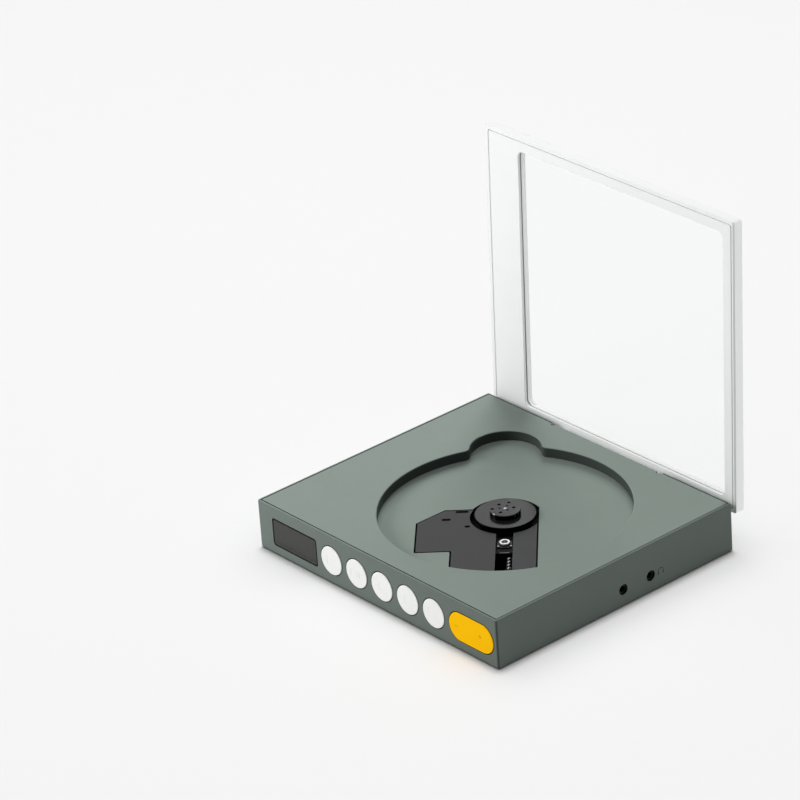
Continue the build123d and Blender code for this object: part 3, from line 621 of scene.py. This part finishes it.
def threaded_rod(bm, u0, u1, outer, root, lead, per_turn=24, per_lead=12):
    """A rod along u whose radius follows a helical thread; the groove's faces are slot 1."""
    half_crest, steepness, half_ridge, plain_end = 0.2, 1.5, 0.18, 1.0
    rings = []
    count = int((u1 - u0) / lead * per_lead)
    for i in range(count + 1):
        u = u0 + (u1 - u0) * i / count
        near_end = min(u - u0, u1 - u) < plain_end
        ring = []
        for k in range(per_turn):
            turn = 2 * math.pi * k / per_turn
            phase = (u / lead - k / per_turn) % 1.0
            crest = max(0.0, 1.0 - abs(phase - 0.5) / half_crest)
            r = root if near_end else root + (outer - root) * min(1.0, crest * steepness)
            v, z = SCREW_V + r * math.cos(turn), SCREW_Z + r * math.sin(turn)
            ring.append(bm.verts.new(on_mech(u, v, z)))
        rings.append(ring)
    for i, (a, b) in enumerate(zip(rings, rings[1:])):
        middle = u0 + (u1 - u0) * (i + 0.5) / count
        for k in range(per_turn):
            j = (k + 1) % per_turn
            face = bm.faces.new((a[k], a[j], b[j], b[k]))
            phase = (middle / lead - (k + 0.5) / per_turn) % 1.0
            face.material_index = 1 if abs(phase - 0.5) > half_ridge else 0
    bm.faces.new(rings[0][::-1])
    bm.faces.new(rings[-1])


# The thread's crests are steel and its roots dark, painted shade in the grooves.
SCREW_IN, SCREW_OUT, CREST_R, ROOT_R = 13.5, 68.9, 1.3, 0.9
bm = bmesh.new()
threaded_rod(bm, SCREW_IN, SCREW_OUT, CREST_R, ROOT_R, SCREW_LEAD)
screw = add_mesh("feed_screw_thread", bm, crest_steel, "screw", smooth=True)
screw.data.materials.append(root_shade_dark)
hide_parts("feed_screw")


# ---------------------------------------------------------------- floor and world

FLOOR_SIZE, FLOOR_DROP = 8.0, 0.0002
FLOOR_WHITE = 0.78
bm = bmesh.new()
bmesh.ops.create_grid(bm, x_segments=1, y_segments=1, size=FLOOR_SIZE / 2)
mesh = bpy.data.meshes.new("floor")
bm.to_mesh(mesh)
bm.free()
floor = bpy.data.objects.new("floor", mesh)
bpy.context.scene.collection.objects.link(floor)
floor.location.z = -FLOOR_DROP

floor_mat, nt, shader = tree("floor_white")
shader.inputs["Base Color"].default_value = (FLOOR_WHITE, FLOOR_WHITE, FLOOR_WHITE, 1.0)
shader.inputs["Roughness"].default_value = 0.9
shader.inputs["Specular IOR Level"].default_value = 0.1
mesh.materials.append(floor_mat)

# The world is nearly white to the eye and in reflections, and gives only a little light.
WORLD_LIGHT, WORLD_SEEN = 0.07, 0.955
world = bpy.data.worlds.new("studio")
bpy.context.scene.world = world
world.use_nodes = True
nt = world.node_tree
background = nt.nodes["Background"]
path = nt.nodes.new("ShaderNodeLightPath").outputs
seen = maths(nt, "MAXIMUM", path["Is Camera Ray"], path["Is Transmission Ray"])
seen = maths(nt, "MAXIMUM", seen, path["Is Glossy Ray"])
level = nt.nodes.new("ShaderNodeMapRange")
level.inputs["To Min"].default_value = WORLD_LIGHT
level.inputs["To Max"].default_value = WORLD_SEEN
nt.links.new(seen, level.inputs["Value"])
nt.links.new(level.outputs["Result"], background.inputs["Strength"])
background.inputs["Color"].default_value = (1.0, 1.0, 1.0, 1.0)


# ---------------------------------------------------------------- lamps

def light_group(name, objects, state):
    """A light-linking group of objects that are all included or all excluded."""
    group = bpy.data.collections.new(name)
    for other in objects:
        group.objects.link(other)
    for entry in group.collection_objects:
        entry.light_linking.link_state = state
    return group


def area(name, place, target, size, power, only=(), spare=(), through=(), glossy=True):
    """A soft round lamp; only and spare name the objects it alone lights or leaves unlit.

    The objects named by through cast no shadow from it. Without glossy it isn't reflected.
    """
    lamp = bpy.data.lights.new(name, "AREA")
    lamp.shape = "DISK"
    lamp.size = size
    lamp.energy = power
    obj = bpy.data.objects.new(name, lamp)
    bpy.context.scene.collection.objects.link(obj)
    obj.location = place
    aim = Vector(target) - Vector(place)
    obj.rotation_euler = aim.to_track_quat("-Z", "Y").to_euler()
    obj.visible_camera = False
    obj.visible_transmission = False
    obj.visible_glossy = glossy
    linking = obj.light_linking
    if spare:
        linking.receiver_collection = light_group(name + "_receivers", spare, "EXCLUDE")
    elif only:
        linking.receiver_collection = light_group(name + "_receivers", only, "INCLUDE")
    if through:
        linking.blocker_collection = light_group(name + "_blockers", through, "EXCLUDE")


lid = (nodes["lid_shell"], nodes["lid_frame"], seal, liner)
side_frame = nodes["side_frame"]
PLAYER, LID_FOOT, ORIGIN = (0.0, 0.0, 0.03), (0.0, 0.08, 0.05), (0.0, 0.0, 0.0)

# The player.
area("back", (-1.5, 1.5, 1.5), PLAYER, 1.5, 87.0, spare=(floor, *lid), glossy=False)
area("overhead", (0.0, 0.1, 1.8), PLAYER, 1.2, 12.2, spare=(floor, *lid))
area("fill", (-0.75, -0.72, 0.55), PLAYER, 0.5, 11.0, spare=(floor, side_frame))
area("frame_fill", (-0.3, -0.33, 0.2), (0.0, -0.07, 0.01), 0.2, 1.27, only=(side_frame,),
     glossy=False)

# The lid, which would clip to white under the player's lamps.
area("lid_back", (0.0, 1.0, 1.6), (0.0, 0.08, 0.1), 0.8, 9.8, only=lid, glossy=False)
area("lid_overhead", (0.0, 0.1, 1.8), PLAYER, 1.2, 7.2, only=lid, glossy=False)
area("lid_top", (0.0, 0.085, 0.5), (0.0, 0.085, 0.17), 0.1, 0.2, only=lid, glossy=False)
area("lid_low", (0.0, -0.3, 0.05), LID_FOOT, 0.06, 0.12, only=lid)
area("side", (1.6, 0.1, 0.5), (0.08, 0.08, 0.1), 0.6, 9.0, only=lid)

# The floor, with the player's soft shadow on it.
area("ground", (-0.22, 0.22, 3.3), ORIGIN, 0.7, 52.0, only=(floor,), through=lid)
area("ground_left", (-1.3, 0.2, 3.0), ORIGIN, 3.0, 24.0, only=(floor,))
area("ground_wide", (0.0, 0.0, 2.5), ORIGIN, 8.0, 103.0, only=(floor,))


# ---------------------------------------------------------------- camera

camera_data = bpy.data.cameras.new("camera")
camera = bpy.data.objects.new("camera", camera_data)
bpy.context.scene.collection.objects.link(camera)
camera.location = (1.40752, -1.19938, 1.03243)
camera.rotation_euler = tuple(math.radians(v) for v in (62.817, 3.649, 48.919))
camera_data.sensor_width = 36.0
camera_data.lens = 198.43
camera_data.shift_x = -0.00236
camera_data.shift_y = -0.00459
camera_data.clip_start = 0.05
camera_data.clip_end = 30.0
bpy.context.scene.camera = camera
bpy.context.scene.view_settings.view_transform = "Standard"
